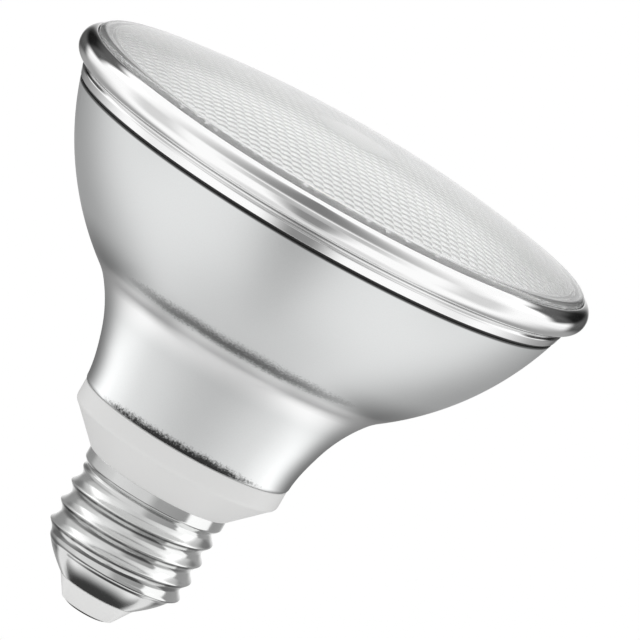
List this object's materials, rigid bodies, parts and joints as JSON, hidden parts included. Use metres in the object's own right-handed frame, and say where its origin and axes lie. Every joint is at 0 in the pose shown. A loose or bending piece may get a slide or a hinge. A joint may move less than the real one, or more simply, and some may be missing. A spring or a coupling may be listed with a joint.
{
  "type": "reflector spotlight bulb",
  "caption": "Screw-base LED reflector spotlight: satin silver bowl, bright rim, clear dimpled lens, white collar, with mirror cup, light board and driver inside.",
  "frame": {"origin": "middle of the centre contact's outer face, at the very end of the screw base", "axes": "+Z along the lamp's axis, from the base towards the lens"},
  "size_m": [0.097, 0.097, 0.0928],
  "materials": {
    "lens_glass": "clear pressed, fine dimples",
    "bright_rim": "polished",
    "black_rubber": "matt",
    "clear_seal": "matt silicone",
    "satin_bowl": "satin silver",
    "mirror_cup": "vacuum metallised",
    "nickel_shell": "bright nickel",
    "white_tip": "semi-gloss white",
    "contact_metal": "tinned",
    "white_collar": "fine matt",
    "raw_aluminium": "turned",
    "grey_pad": "soft matt",
    "board_white": "white solder mask",
    "ceramic": "matt ceramic",
    "phosphor": "silicone over phosphor",
    "holder_plastic": "matt",
    "screw_steel": "zinc plated",
    "board_green": "solder mask",
    "ferrite": "matt ferrite",
    "yellow_tape": "polyester tape",
    "film_box": "moulded box",
    "can_sleeve": "shrink sleeve",
    "copper_wire": "enamelled",
    "black_mould": "moulded",
    "blue_lacquer": "lacquer",
    "resistor_body": "cement coat",
    "chip_ceramic": "ceramic",
    "wire_red": "insulation",
    "wire_white": "insulation",
    "wire_black": "insulation"
  },
  "bodies": {
    "root": {"front_lens": "lens_glass", "front_rim": "bright_rim", "seam_gasket": "black_rubber", "lens_seal": "clear_seal", "reflector_bowl": "satin_bowl", "reflector_cup": "mirror_cup", "screw_shell": "nickel_shell", "base_insulator": "white_tip", "centre_contact": "contact_metal", "driver_housing": "white_collar", "driver_lid": "white_collar", "heat_spreader": "raw_aluminium", "thermal_pad": "grey_pad", "led_board": "board_white", "cob_substrate": "ceramic", "phosphor_disc": "phosphor", "cob_holder": "holder_plastic", "clamp_screws": "screw_steel", "board_screws": "screw_steel", "holder_screws": "screw_steel", "driver_board": "board_green", "transformer_core": "ferrite", "transformer_winding": "yellow_tape", "film_capacitor": "film_box", "output_capacitor": "can_sleeve", "bulk_capacitor": "can_sleeve", "inductor_core": "ferrite", "inductor_winding": "copper_wire", "bridge_rectifier": "black_mould", "power_transistor": "black_mould", "control_chip": "black_mould", "varistor": "blue_lacquer", "fusible_resistor": "resistor_body", "chip_components": "chip_ceramic", "live_wire": "wire_red", "neutral_wire": "wire_white", "led_wire_plus": "wire_red", "led_wire_minus": "wire_black"}
  },
  "joints": []
}
